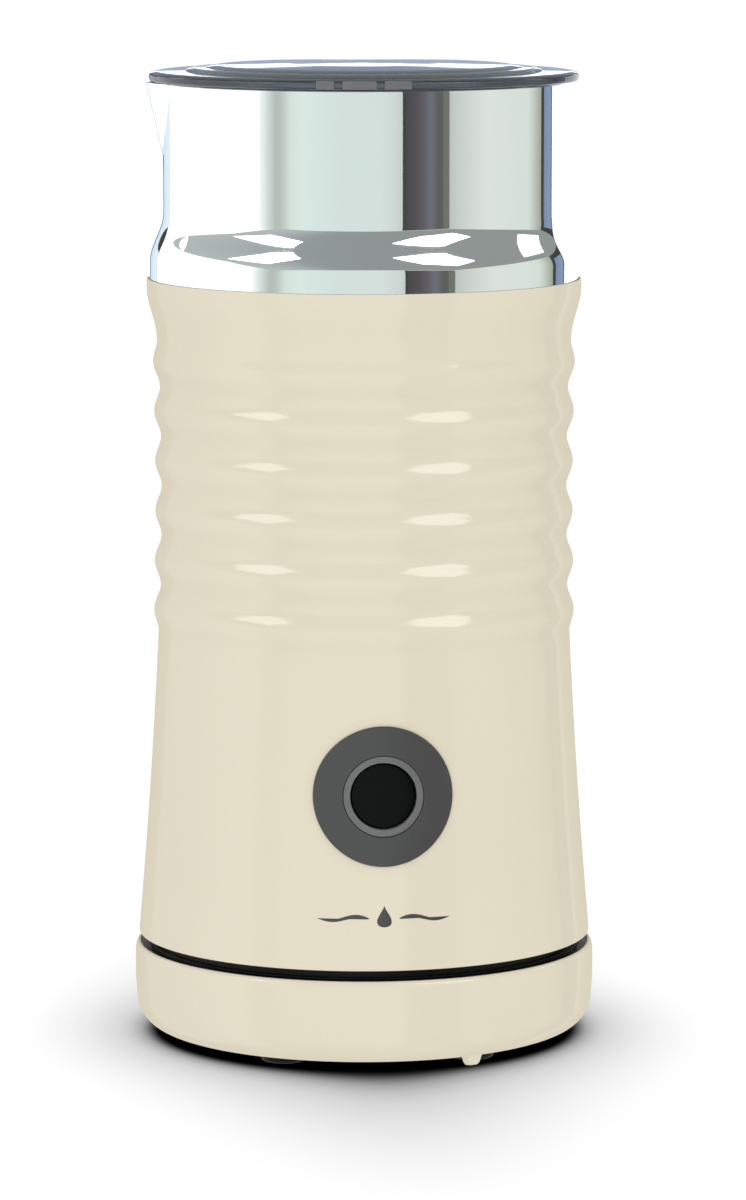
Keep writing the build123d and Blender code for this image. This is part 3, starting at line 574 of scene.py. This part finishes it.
make_base_shell()
# painted shade: a thin black ring on the base's rim that stands for the shadowed gap under the jug
turned(
    "painted_gap_shade_ring",
    [(46.9, 19.84, 0), (46.9, 20.0, 0.05), (48.95, 20.0, 0.05), (48.95, 19.84, 0)],
    "power_base",
    "black_gloss",
)


LUG_ANGLE = radians(-64.7)
LUG_R = 45.2                   # millimetres
LUG_LEVELS = ((0.0, 2.7, 1.4), (0.35, 3.2, 1.9), (3.6, 5.2, 2.8))   # height, width and depth


def make_lug():
    """Small lug under the base's front edge, narrower towards the ground."""
    out = Vector((cos(LUG_ANGLE), sin(LUG_ANGLE), 0))
    side = Vector((-sin(LUG_ANGLE), cos(LUG_ANGLE), 0))
    work = bmesh.new()
    rings = []
    for z, width, depth in LUG_LEVELS:
        ring = []
        for a, b in ((-1, -1), (1, -1), (1, 1), (-1, 1)):
            place = out * (LUG_R + b * depth / 2) * MM + side * a * width / 2 * MM
            ring.append(work.verts.new(place + Vector((0, 0, z * MM))))
        rings.append(ring)
    for low, high in zip(rings, rings[1:]):
        for i in range(4):
            j = (i + 1) % 4
            work.faces.new((low[i], low[j], high[j], high[i]))
    work.faces.new(rings[0][::-1])
    work.faces.new(rings[-1])
    bmesh.ops.bevel(
        work,
        geom=[e for e in work.edges if abs(e.verts[0].co.z - e.verts[1].co.z) > 1e-4],
        offset=0.4 * MM,
        segments=3,
        affect="EDGES",
    )
    mesh = bpy.data.meshes.new("base_lug")
    work.to_mesh(mesh)
    work.free()
    finish_piece("base_lug", mesh, "power_base", "cream_shell")


make_lug()

# ---------------------------------------------------------------- lid
CROWN = span("lid_cover")[2] / MM      # top of the slightly domed crown, in millimetres
turned(
    "lid_clear",
    [
        (0.02, CROWN, 0),
        (16.0, CROWN - 0.06, 12.0),
        (31.5, CROWN - 0.35, 3.0),
        (33.6, CROWN - 0.62, 0.5),
        (34.2, CROWN - 0.85, 0.6),
        (36.4, CROWN - 0.9, 2.0),
        (37.9, CROWN - 1.15, 0.5),
        (38.5, CROWN - 1.6, 0.6),
        (44.5, CROWN - 1.65, 3.0),
        (46.3, CROWN - 2.0, 0.8),
        (46.3, 207.2, 0.7),
        (40.5, 207.2, 0),
        (40.5, 204.4, 0),
        (39.9, 204.4, 0),
        (39.9, 202.0, 0),
        (40.5, 202.0, 0),
        (40.5, 200.4, 0.4),
        (38.9, 200.4, 0.4),
        (38.9, 207.0, 0.6),
        (36.0, 208.7, 0.8),
        (0.02, 208.9, 0),
    ],
    "lid",
    "clear_lid",
    "lid_cover",
    around=192,
)

BRIM = 46.9 * MM
PLATE = (207.3 * MM, 209.0 * MM)       # lowest and highest edge of the grey plates of painted reflection
PLATE_ANGLE = radians(-95.1)           # the plates' middle faces the camera, a little left of the button
PLATE_EDGE = 0.1 * MM


def make_reflection_plate(name, start, end):
    """Slightly proud grey plate on the brim's front, a painted reflection of the studio there, from
    start to end in millimetres across it.
    """
    low, high = PLATE
    inner, outer = BRIM - 0.35 * MM, BRIM + 0.12 * MM
    section = [(inner, low), (outer - PLATE_EDGE, low), (outer, low + PLATE_EDGE)]
    section += [(outer, high - PLATE_EDGE), (outer - PLATE_EDGE, high), (inner, high)]
    sides = len(section)
    steps = 6
    work = bmesh.new()
    rings = []
    for i in range(steps + 1):
        angle = PLATE_ANGLE + (start + (end - start) * i / steps) * MM / BRIM
        rings.append([work.verts.new((r * cos(angle), r * sin(angle), z)) for r, z in section])
    for first, second in zip(rings, rings[1:]):
        for i in range(sides):
            j = (i + 1) % sides
            work.faces.new((first[i], second[i], second[j], first[j]))
    work.faces.new(rings[0])
    work.faces.new(rings[-1][::-1])
    bmesh.ops.recalc_face_normals(work, faces=work.faces)
    mesh = bpy.data.meshes.new(name)
    work.to_mesh(mesh)
    work.free()
    finish_piece(name, mesh, "lid", "light_guide")


# painted reflection: three grey plates, with dark gaps between them, where the brim mirrors the studio
# towards the camera
make_reflection_plate("reflection_plate_left", -9.9, -6.2)
make_reflection_plate("reflection_plate_middle", -4.4, 2.6)
make_reflection_plate("reflection_plate_right", 4.4, 9.9)
turned(
    "lid_seal_ring",
    [
        (39.95, 202.1, 0.1),
        (40.9, 202.1, 0.2),
        (42.1, 202.8, 0.15),
        (41.0, 203.2, 0.2),
        (42.1, 204.0, 0.15),
        (40.9, 204.3, 0.2),
        (39.95, 204.3, 0.1),
    ],
    "lid",
    "silicone",
    "lid_seal",
    around=144,
)


# ---------------------------------------------------------------- button: pieces that hug the sleeve
bezel_low, bezel_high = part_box("button_bezel")
BUTTON_Z = (bezel_low.z + bezel_high.z) / 2


def hugging(name, profile, body, slot, *nodes, around=96):
    """Round piece on the sleeve's front, its outline in (radius, height above the sleeve), in mm."""
    rows = []
    for reach, proud in soften(profile, 6):
        row = []
        for step in range(around):
            a = 2 * pi * step / around
            x, z = reach * MM * cos(a), BUTTON_Z + reach * MM * sin(a)
            row.append((x, -sqrt((skirt_radius(z) + proud * MM) ** 2 - x * x), z))
        rows.append(row)
    finish_piece(name, grid_mesh(name, rows), body, slot, *nodes)


hugging(
    "bezel",
    [
        (14.8, 0.03, 0),
        (14.8, 0.62, 0.35),
        (8.6, 0.62, 0.25),
        (8.6, -4.8, 0),
        (12.2, -4.8, 0),
        (12.2, 0.03, 0),
    ],
    "jug",
    "dark_trim",
    "button_bezel",
    around=144,
)
hugging(
    "light_ring_guide",
    [(8.5, -3.6, 0), (8.5, 0.42, 0.15), (7.05, 0.42, 0.3), (7.0, -3.6, 0)],
    "jug",
    "light_guide",
    "light_ring",
)
hugging(
    "push_cap",
    [
        (0.02, -0.7, 0),
        (4.0, -0.62, 1.0),
        (6.8, -0.45, 0.35),
        (6.8, -3.3, 0),
        (5.7, -3.3, 0),
        (5.6, -1.1, 0),
        (0.02, -1.1, 0),
    ],
    "button",
    "black_gloss",
    "button_cap",
)


# ---------------------------------------------------------------- ornament under the button
ORNAMENT_Z = 33.7 * MM
INLAY_LEVELS = ((0.03, 0.06), (0.5, 0.06), (0.93, 0.05), (1.0, 0.02), (1.0, -0.2), (0.03, -0.2))


def inlay(name, outline):
    """Thin print on the sleeve's front from an outline of (across, up) in millimetres."""
    middle_x = sum(x for x, z in outline) / len(outline)
    middle_z = sum(z for x, z in outline) / len(outline)
    rows = []
    for scale, proud in INLAY_LEVELS:
        row = []
        for x, z in outline:
            across = (middle_x + (x - middle_x) * scale) * MM
            height = ORNAMENT_Z + (middle_z + (z - middle_z) * scale) * MM
            row.append((across, -sqrt((skirt_radius(height) + proud * MM) ** 2 - across ** 2), height))
        rows.append(row)
    finish_piece(name, grid_mesh(name, rows), "jug", "dark_trim")


def make_ornament():
    """A milk drop between two tapering strokes."""
    drop = []
    for step in range(48):
        t = 2 * pi * step / 48
        drop.append((1.55 * sin(t) * (1 - cos(t)) / 1.3, 2.3 * cos(t)))
    inlay("ornament_drop", drop)
    for side, name in ((-1, "ornament_stroke_left"), (1, "ornament_stroke_right")):
        stroke = []
        for step in range(64):
            t = 2 * pi * step / 64
            along = 8.6 + 5.4 * cos(t)
            swell = 0.34 * sin(t) * (1 - 0.55 * cos(t))
            stroke.append((side * along, swell - 0.5 + 0.5 * sin((along - 3.2) / 10.8 * 2 * pi)))
        inlay(name, stroke)


make_ornament()


# ---------------------------------------------------------------- whisk coil
WIRE_R = 0.42 * MM


def make_whisk_coil():
    """Spring wire wound round the whisk's ring."""
    low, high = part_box("whisk_coil")
    centre_z = (low.z + high.z) / 2
    minor = (high.z - low.z) / 2 - WIRE_R
    major = (high.x - low.x) / 2 - minor - WIRE_R
    turns, steps, sides = 66, 14, 8    # turns round the ring, rows in a turn, facets of the wire
    rows = []
    total = turns * steps
    for i in range(total):
        t = 2 * pi * i / total
        w = turns * t
        out = Vector((cos(t), sin(t), 0))
        along = Vector((-sin(t), cos(t), 0))
        place = out * (major + minor * cos(w)) + Vector((0, 0, centre_z + minor * sin(w)))
        tangent = (
            along * (major + minor * cos(w))
            + (out * -sin(w) + Vector((0, 0, cos(w)))) * minor * turns
        ).normalized()
        first = (out * cos(w) + Vector((0, 0, sin(w)))).normalized()
        second = tangent.cross(first)
        row = []
        for k in range(sides):
            a = 2 * pi * k / sides
            row.append(place + (first * cos(a) + second * sin(a)) * WIRE_R)
        rows.append(row)
    finish_piece(
        "whisk_wire", grid_mesh("whisk_wire", rows), "whisk", "steel", "whisk_coil", sharp=80
    )


make_whisk_coil()


# ---------------------------------------------------------------- camera
CAMERA_AZIMUTH = radians(-5.1)
CAMERA_REACH = 1.242
CAMERA_HEIGHT = 0.2624
CAMERA_PITCH = radians(7.70)
CAMERA_YAW = radians(0.09)
CAMERA_LENS = 172.9      # millimetres, on a film 36 mm wide

camera = bpy.data.objects.new("camera", bpy.data.cameras.new("camera"))
bpy.context.scene.collection.objects.link(camera)
camera.data.lens = CAMERA_LENS
camera.data.sensor_width = 36
camera.location = (
    sin(CAMERA_AZIMUTH) * CAMERA_REACH,
    -cos(CAMERA_AZIMUTH) * CAMERA_REACH,
    CAMERA_HEIGHT,
)
camera.rotation_euler = (pi / 2 - CAMERA_PITCH, 0, CAMERA_AZIMUTH - CAMERA_YAW)
camera.data.clip_start, camera.data.clip_end = 0.01, 100
bpy.context.scene.camera = camera

# ---------------------------------------------------------------- studio
PAPER_WHITE = 1.02       # backdrop and floor, just past white
scene = bpy.context.scene
scene.view_settings.view_transform = "Standard"
world = bpy.data.worlds.new("studio")
scene.world = world
world.use_nodes = True
world.node_tree.nodes["Background"].inputs["Color"].default_value = (1, 1, 1, 1)
world.node_tree.nodes["Background"].inputs["Strength"].default_value = PAPER_WHITE

ROOM_SCALE = 2.0         # metres in one unit of the room below
ROOM_LEVEL = 0.17        # height that the room's own heights count from
ROOM_RIGHT = Vector((cos(CAMERA_AZIMUTH), sin(CAMERA_AZIMUTH), 0))
ROOM_FRONT = Vector((sin(CAMERA_AZIMUTH), -cos(CAMERA_AZIMUTH), 0))
KEY_POWER = 4.0          # a little more light from the front than from the sides
DEEP = -4.0              # walls reach this far below, because steel also mirrors what lies lower


def room_point(right, toward, up):
    """Place in the scene of a place in the room, whose plan lies square to the camera."""
    place = ROOM_RIGHT * right + ROOM_FRONT * toward + Vector((0, 0, up))
    return place * ROOM_SCALE + Vector((0, 0, ROOM_LEVEL))


def emitter(name, strength):
    """Material that only emits light, and its emission node."""
    material = bpy.data.materials.new(name)
    material.use_nodes = True
    material.node_tree.nodes.clear()
    glow = add_node(material, "ShaderNodeEmission")
    glow.inputs["Strength"].default_value = strength
    out = add_node(material, "ShaderNodeOutputMaterial")
    join(material, glow.outputs[0], out.inputs["Surface"])
    return material, glow


def glowing(name, stops, strength):
    """Plain light whose colour follows a ramp along the piece's first texture coordinate."""
    material, glow = emitter(name, strength)
    place = add_node(material, "ShaderNodeUVMap")
    axes = add_node(material, "ShaderNodeSeparateXYZ")
    join(material, place.outputs["UV"], axes.inputs["Vector"])
    ramp = ramp_through(material, axes.outputs["X"], stops)
    join(material, ramp.outputs["Color"], glow.inputs["Color"])
    return material


def mirrored(name, points, stops, strength=1.0):
    """Flat studio panel that only reflections and clear plastic show."""
    mesh = bpy.data.meshes.new(name)
    mesh.from_pydata([room_point(*p) for p in points], [], [tuple(range(len(points)))])
    layer = mesh.uv_layers.new(name="along")
    for corner, along in zip(layer.data, (0, 1, 1, 0)):
        corner.uv = (along, 0)
    mesh.materials.append(glowing(name, stops, strength))
    panel = bpy.data.objects.new(name, mesh)
    bpy.context.scene.collection.objects.link(panel)
    panel.visible_camera = False
    panel.visible_diffuse = False
    panel.visible_shadow = False


def wall(name, start, end, low, high, *stops):
    """Upright panel from one place of the plan to another; plain when it has one stop."""
    if len(stops) == 1:
        stops = (stops[0], (1, stops[0][1]))
    corners = ((*start, low), (*end, low), (*end, high), (*start, high))
    mirrored(name, corners, stops)


def ceiling_window(name, outline, strength):
    """Softbox just under the ceiling, with its outline on the plan."""
    corners = [(*place, 0.99) for place in outline]
    mirrored(name, corners, ((0, (1, 1, 1)), (1, (1, 1, 1))), strength)


# plan of the room: right of and toward the camera
FRONT_LEFT, FRONT_EDGE, FRONT_RIGHT = (-3.85, 3.35), (1.34, 3.35), (3.9, 3.35)
RIGHT_END, BACK_RIGHT = (3.9, -2.36), (3.0, -3.05)
BACK_EDGES = ((1.1, -4.5), (-1.1, -5.3))
BACK_LEFT, LEFT_END = (-1.4, -5.4), (-3.1, -4.8)
LEFT_BENDS = ((-2.86, -1.38), (-2.64, 0.44))
SHELL_GREY = (0.055, 0.058, 0.052)
WHITE = (1.2, 1.2, 1.2)
CORNER_GREY = (0.50, 0.55, 0.51)
FRONT_GREEN = (0.70, 0.79, 0.76)
wall(
    "wall_front", FRONT_LEFT, FRONT_EDGE, DEEP, 1,
    (0, CORNER_GREY), (0.06, (0.56, 0.61, 0.57)), (0.16, (0.71, 0.79, 0.75)),
    (0.30, (0.76, 0.86, 0.82)), (0.6, FRONT_GREEN), (0.85, FRONT_GREEN),
    (0.96, (0.66, 0.71, 0.69)), (1, (0.60, 0.65, 0.62)),
)
wall(
    "wall_dark", FRONT_EDGE, FRONT_RIGHT, DEEP, 0.94,
    (0, (0.03, 0.03, 0.03)), (0.04, (0.07, 0.07, 0.072)), (0.2, (0.095, 0.087, 0.095)),
    (0.35, (0.125, 0.115, 0.14)), (0.5, (0.165, 0.17, 0.20)), (0.68, (0.115, 0.12, 0.12)),
    (0.8, (0.12, 0.125, 0.115)), (0.82, (0.17, 0.18, 0.15)), (1, (0.17, 0.18, 0.14)),
)
wall("wall_dark_top", FRONT_EDGE, FRONT_RIGHT, 0.94, 1, (0, (0.72, 0.72, 0.70)))
wall(
    "wall_right", FRONT_RIGHT, RIGHT_END, DEEP, 1,
    (0, (0.54, 0.58, 0.54)), (0.12, (0.62, 0.66, 0.62)), (0.4, (0.76, 0.81, 0.76)),
    (0.8, (0.72, 0.78, 0.72)), (0.93, (0.46, 0.51, 0.44)), (1, (0.37, 0.39, 0.32)),
)
wall("frame_right", RIGHT_END, BACK_RIGHT, DEEP, 1.06, (0, SHELL_GREY))
wall(
    "pane_right", (3.81, -2.44), (3.03, -2.97), DEEP, 0.70,
    (0, (0.17, 0.22, 0.38)), (0.3, (0.22, 0.29, 0.44)),
    (0.8, (0.25, 0.34, 0.48)), (1, (0.2, 0.27, 0.44)),
)
wall("wall_back_right", BACK_RIGHT, BACK_EDGES[0], DEEP, 1, (0, WHITE))
wall("wall_back_base", *BACK_EDGES, DEEP, 0.02, (0, WHITE))
wall("wall_back_low", *BACK_EDGES, 0.02, 0.24, (0, (0.40, 0.47, 0.60)))
wall("wall_back_light", *BACK_EDGES, 0.24, 0.37, (0, (2.2, 2.2, 2.2)))
wall("wall_back_high", *BACK_EDGES, 0.37, 1, (0, (0.28, 0.34, 0.47)))
wall("wall_back_left", BACK_EDGES[1], BACK_LEFT, DEEP, 1, (0, (0.20, 0.26, 0.38)))
wall("frame_left", BACK_LEFT, LEFT_END, DEEP, 1.06, (0, SHELL_GREY))
wall(
    "pane_left", (-1.5, -5.34), (-3.05, -4.79), DEEP, 0.50,
    (0, (0.62, 0.80, 0.95)), (1, (0.85, 0.95, 1.0)),
)
wall("wall_left_rear", LEFT_END, LEFT_BENDS[0], DEEP, 1, (0, WHITE))
wall("wall_left_middle", *LEFT_BENDS, DEEP, 1, (0, WHITE))
wall(
    "wall_left", LEFT_BENDS[1], FRONT_LEFT, DEEP, 1,
    (0, WHITE), (0.40, WHITE), (0.48, (0.90, 0.97, 0.95)),
    (0.66, (0.66, 0.73, 0.70)), (0.86, CORNER_GREY), (1, CORNER_GREY),
)
OUTLINE = ((-5.5, -5.6), (5.5, -5.6), (5.5, 3.6), (-5.5, 3.6))
CEILING = (                    # lighter towards the left
    (0, (0.50, 0.54, 0.54)),
    (0.27, (0.47, 0.51, 0.51)),
    (0.336, (0.43, 0.47, 0.47)),
    (0.382, (0.375, 0.41, 0.41)),
    (0.42, (0.31, 0.34, 0.345)),
    (0.5, (0.29, 0.315, 0.312)),
    (1, (0.29, 0.315, 0.305)),
)
MID_GREY = (0.5, 0.5, 0.5)
mirrored("ceiling", [(*place, 1.0) for place in OUTLINE], CEILING)
mirrored("underside", [(*place, DEEP) for place in OUTLINE], ((0, MID_GREY), (1, MID_GREY)))
ceiling_window(
    "window_right", ((0.39, 1.24), (1.05, 1.58), (2.08, 1.58), (1.82, 0.82), (1.06, 0.86)), 4
)
ceiling_window(
    "window_left", ((-0.88, 1.14), (-1.83, 1.25), (-2.22, 0.28), (-1.27, 0.72), (-0.90, 0.93)), 4
)
ceiling_window("window_far_right", ((1.47, -0.30), (2.75, -0.5), (2.9, -1.6), (1.3, -0.76)), 2)
ceiling_window("window_far_left", ((-1.36, -0.80), (-2.84, -1.66), (-2.55, -2.50), (-1.12, -1.10)), 2)

KEY_AIM = Vector((0, 0, 0.1))
key = bpy.data.objects.new("key_light", bpy.data.lights.new("key_light", "AREA"))
key.data.shape = "DISK"
key.data.size = 1.0
key.data.energy = KEY_POWER
key.location = room_point(0, 0.75, 0.1)
key.rotation_euler = (KEY_AIM - key.location).to_track_quat("-Z", "Y").to_euler()
key.visible_glossy = False
key.visible_transmission = False
key.visible_camera = False
bpy.context.scene.collection.objects.link(key)

# ---------------------------------------------------------------- floor
floor_mesh = bpy.data.meshes.new("floor")
floor_mesh.from_pydata([(-9, -9, 0), (9, -9, 0), (9, 9, 0), (-9, 9, 0)], [], [(0, 1, 2, 3)])
floor_material, floor_glow = emitter("floor_paper", PAPER_WHITE)


def floor_maths(operation, first, second=0.0):
    """Maths node of the floor's material; each input is a number or another node's output."""
    node = add_node(floor_material, "ShaderNodeMath", operation=operation)
    for socket, value in zip(node.inputs, (first, second)):
        if isinstance(value, (int, float)):
            socket.default_value = value
        else:
            join(floor_material, value, socket)
    return node.outputs[0]


def floor_length(first, second):
    """Length of a vector of two components."""
    squares = [floor_maths("MULTIPLY", side, side) for side in (first, second)]
    return floor_maths("SQRT", floor_maths("ADD", *squares))


# contact shadow: short at the sides, about four times as long to the front and the back
FOOTPRINT = base_r - 5.3 * MM
FRONT_SPREAD = 0.25
BACK_SPREAD = 0.3
SHADOW_REACH = 35 * MM
SHADOW = (                     # share of the reach, and grey
    (0.0, 0.0),
    (0.025, 0.0),
    (0.05, 0.05),
    (0.08, 0.21),
    (0.114, 0.38),
    (0.17, 0.55),
    (0.24, 0.67),
    (0.35, 0.755),
    (0.466, 0.83),
    (0.6, 0.9),
    (0.76, 0.96),
    (1.0, 1.0),
)
floor_place = add_node(floor_material, "ShaderNodeTexCoord")
floor_axes = add_node(floor_material, "ShaderNodeSeparateXYZ")
join(floor_material, floor_place.outputs["Object"], floor_axes.inputs["Vector"])
across, back = floor_axes.outputs["X"], floor_axes.outputs["Y"]
reach = floor_length(across, back)
outside = floor_maths("MAXIMUM", floor_maths("SUBTRACT", reach, FOOTPRINT), 0.0)
beyond = floor_maths("DIVIDE", outside, reach)
behind = floor_maths("MULTIPLY", floor_maths("MAXIMUM", back, 0.0), BACK_SPREAD)
before = floor_maths("MULTIPLY", floor_maths("MINIMUM", back, 0.0), FRONT_SPREAD)
side_way = floor_maths("MULTIPLY", across, beyond)
length_way = floor_maths("MULTIPLY", floor_maths("ADD", behind, before), beyond)
share = floor_maths("DIVIDE", floor_length(side_way, length_way), SHADOW_REACH)
shade = ramp_through(floor_material, share, [(place, (grey, grey, grey)) for place, grey in SHADOW])
shade.color_ramp.interpolation = "B_SPLINE"
join(floor_material, shade.outputs["Color"], floor_glow.inputs["Color"])
floor_mesh.materials.append(floor_material)
floor = bpy.data.objects.new("floor", floor_mesh)
bpy.context.scene.collection.objects.link(floor)
floor.visible_glossy = False          # the steel mirrors the room's underside instead
floor.visible_diffuse = False
